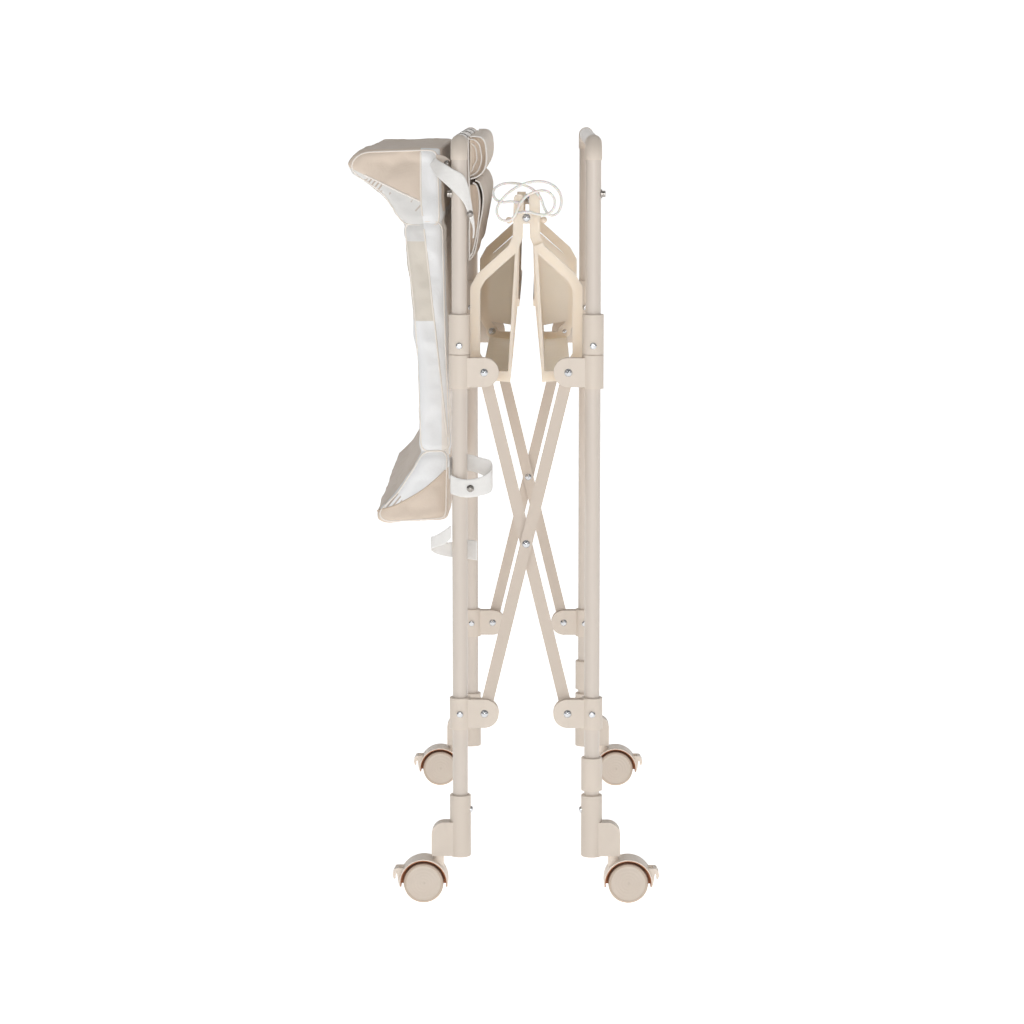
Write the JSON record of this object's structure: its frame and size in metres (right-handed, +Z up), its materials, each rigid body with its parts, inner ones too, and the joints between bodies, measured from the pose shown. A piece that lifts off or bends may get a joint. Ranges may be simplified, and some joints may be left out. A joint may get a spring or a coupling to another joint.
{
  "type": "folding changing table",
  "caption": "Folding baby changing table on castors, folded for storage: tube side frames, scissor braces, a two-part tray and a hanging padded mat.",
  "frame": {"origin": "under the middle of the object, on the floor", "axes": "+Z up, +X across the fold towards the right frame, +Y along the rails away from the near end"},
  "size_m": [0.3948, 0.716, 0.96],
  "materials": {
    "tube": "satin powder coat, warm grey-beige",
    "brace": "satin powder coat, warm grey-beige",
    "fitting": "fine matte moulded plastic, beige",
    "elbow": "fine matte moulded plastic, darker beige",
    "tray": "satin moulded plastic, cream",
    "rivet": "bright zinc dome heads",
    "stud": "dark bronze snap stud",
    "castor": "fine matte moulded plastic, beige",
    "wheel": "matte moulded wheel, beige",
    "cord": "smooth off-white cord",
    "knob": "satin moulded knob",
    "mat_beige": "coated woven fabric, beige",
    "mat_white": "coated woven fabric, white",
    "mat_panel": "coated woven fabric, grey-beige",
    "organiser": "woven fabric with white piping",
    "strap": "off-white webbing"
  },
  "bodies": {
    "left_frame": {"left_top_rail": "tube", "left_elbows": "elbow", "left_snap_studs": "stud", "left_leg_near": "tube", "left_leg_far": "tube", "left_stop_near": "fitting", "left_stop_far": "fitting", "left_lower_bracket_near": "fitting", "left_lower_bracket_far": "fitting", "left_castor_socket_near": "fitting", "left_castor_socket_far": "fitting", "left_frame_screws": "rivet", "left_lower_pins": "rivet", "organiser": "organiser"},
    "right_frame": {"right_top_rail": "tube", "right_elbows": "elbow", "right_snap_studs": "stud", "right_leg_near": "tube", "right_leg_far": "tube", "right_stop_near": "fitting", "right_stop_far": "fitting", "right_lower_bracket_near": "fitting", "right_lower_bracket_far": "fitting", "right_castor_socket_near": "fitting", "right_castor_socket_far": "fitting", "right_frame_screws": "rivet", "right_lower_pins": "rivet", "right_leg_sleeves": "fitting"},
    "brace_a": {"brace_a_near": "brace", "brace_a_far": "brace", "brace_crossing_rivets": "rivet"},
    "brace_b": {"brace_b_near": "brace", "brace_b_far": "brace"},
    "left_sliders": {"left_slider_near": "fitting", "left_slider_far": "fitting", "left_slider_pins": "rivet"},
    "right_sliders": {"right_slider_near": "fitting", "right_slider_far": "fitting", "right_slider_pins": "rivet"},
    "tray_left": {"tray_left": "tray", "tray_hinge_pins": "rivet", "cord_knob_left": "knob", "pull_cord": "cord"},
    "tray_right": {"tray_right": "tray", "cord_knob_right": "knob"},
    "mat": {"mat_base": "mat_panel", "mat_top_bolster": "mat_beige", "mat_bottom_bolster": "mat_beige"},
    "castor_near_left": {"castor_hood_near_left": "castor"},
    "wheel_near_left": {"castor_wheel_near_left": "wheel"},
    "brake_near_left": {"castor_brake_near_left": "castor"},
    "castor_far_left": {"castor_hood_far_left": "castor"},
    "wheel_far_left": {"castor_wheel_far_left": "wheel"},
    "brake_far_left": {"castor_brake_far_left": "castor"},
    "castor_near_right": {"castor_hood_near_right": "castor"},
    "wheel_near_right": {"castor_wheel_near_right": "wheel"},
    "brake_near_right": {"castor_brake_near_right": "castor"},
    "castor_far_right": {"castor_hood_far_right": "castor"},
    "wheel_far_right": {"castor_wheel_far_right": "wheel"},
    "brake_far_right": {"castor_brake_far_right": "castor"}
  },
  "joints": [
    {"name": "fold", "type": "hinge", "parent": "left_frame", "child": "brace_a", "pos_m": [-0.02255, 0, 0.2405], "axis": [0, 1, 0], "range_deg": [0, 47.03]},
    {"name": "brace_crossing", "type": "hinge", "parent": "brace_a", "child": "brace_b", "pos_m": [0.02945, 0, 0.45458], "axis": [0, 1, 0], "range_deg": [-94.08, 0]},
    {"name": "right_brace_foot", "type": "hinge", "parent": "brace_b", "child": "right_frame", "pos_m": [0.08145, 0, 0.2405], "axis": [0, 1, 0], "range_deg": [0, 47.05]},
    {"name": "left_slider_pivot", "type": "hinge", "parent": "brace_b", "child": "left_sliders", "pos_m": [-0.02255, 0, 0.66865], "axis": [0, 1, 0], "range_deg": [0, 47.05]},
    {"name": "right_slider_pivot", "type": "hinge", "parent": "brace_a", "child": "right_sliders", "pos_m": [0.08145, 0, 0.66865], "axis": [0, 1, 0], "range_deg": [-47.05, 0]},
    {"name": "tray_left_pivot", "type": "hinge", "parent": "brace_b", "child": "tray_left", "pos_m": [-0.02255, 0, 0.66865], "axis": [0, 1, 0], "range_deg": [0, 133.66]},
    {"name": "tray_centre_hinge", "type": "hinge", "parent": "tray_left", "child": "tray_right", "pos_m": [0.02945, 0, 0.858], "axis": [0, 1, 0], "range_deg": [-173.26, 0]},
    {"name": "mat_swing", "type": "hinge", "parent": "left_frame", "child": "mat", "pos_m": [-0.07755, 0, 0.941], "axis": [0, 1, 0], "range_deg": [0, 90]},
    {"name": "swivel_near_left", "type": "hinge", "parent": "left_frame", "child": "castor_near_left", "pos_m": [-0.08075, -0.34, 0.058], "axis": [0, 0, 1], "continuous": true},
    {"name": "roll_near_left", "type": "hinge", "parent": "castor_near_left", "child": "wheel_near_left", "pos_m": [-0.09925, -0.34, 0.025], "axis": [0, 1, 0], "continuous": true},
    {"name": "brake_pedal_near_left", "type": "hinge", "parent": "castor_near_left", "child": "brake_near_left", "pos_m": [-0.13285, -0.34, 0.0392], "axis": [0, 1, 0], "range_deg": [-16, 0]},
    {"name": "swivel_far_left", "type": "hinge", "parent": "left_frame", "child": "castor_far_left", "pos_m": [-0.08075, 0.34, 0.058], "axis": [0, 0, 1], "continuous": true},
    {"name": "roll_far_left", "type": "hinge", "parent": "castor_far_left", "child": "wheel_far_left", "pos_m": [-0.09925, 0.34, 0.025], "axis": [0, 1, 0], "continuous": true},
    {"name": "brake_pedal_far_left", "type": "hinge", "parent": "castor_far_left", "child": "brake_far_left", "pos_m": [-0.13285, 0.34, 0.0392], "axis": [0, 1, 0], "range_deg": [-16, 0]},
    {"name": "swivel_near_right", "type": "hinge", "parent": "right_frame", "child": "castor_near_right", "pos_m": [0.13965, -0.34, 0.058], "axis": [0, 0, 1], "continuous": true},
    {"name": "roll_near_right", "type": "hinge", "parent": "castor_near_right", "child": "wheel_near_right", "pos_m": [0.15815, -0.34, 0.025], "axis": [0, 1, 0], "continuous": true},
    {"name": "brake_pedal_near_right", "type": "hinge", "parent": "castor_near_right", "child": "brake_near_right", "pos_m": [0.19175, -0.34, 0.0392], "axis": [0, 1, 0], "range_deg": [0, 16]},
    {"name": "swivel_far_right", "type": "hinge", "parent": "right_frame", "child": "castor_far_right", "pos_m": [0.13965, 0.34, 0.058], "axis": [0, 0, 1], "continuous": true},
    {"name": "roll_far_right", "type": "hinge", "parent": "castor_far_right", "child": "wheel_far_right", "pos_m": [0.15815, 0.34, 0.025], "axis": [0, 1, 0], "continuous": true},
    {"name": "brake_pedal_far_right", "type": "hinge", "parent": "castor_far_right", "child": "brake_far_right", "pos_m": [0.19175, 0.34, 0.0392], "axis": [0, 1, 0], "range_deg": [0, 16]}
  ],
  "couplings": [
    {"joint": "brace_crossing", "follows": "fold", "ratio": -2},
    {"joint": "right_brace_foot", "follows": "fold", "ratio": 1},
    {"joint": "left_slider_pivot", "follows": "fold", "ratio": 1},
    {"joint": "right_slider_pivot", "follows": "fold", "ratio": -1},
    {"joint": "tray_left_pivot", "follows": "fold", "ratio": 2.8414},
    {"joint": "tray_centre_hinge", "follows": "fold", "ratio": -3.6827}
  ]
}
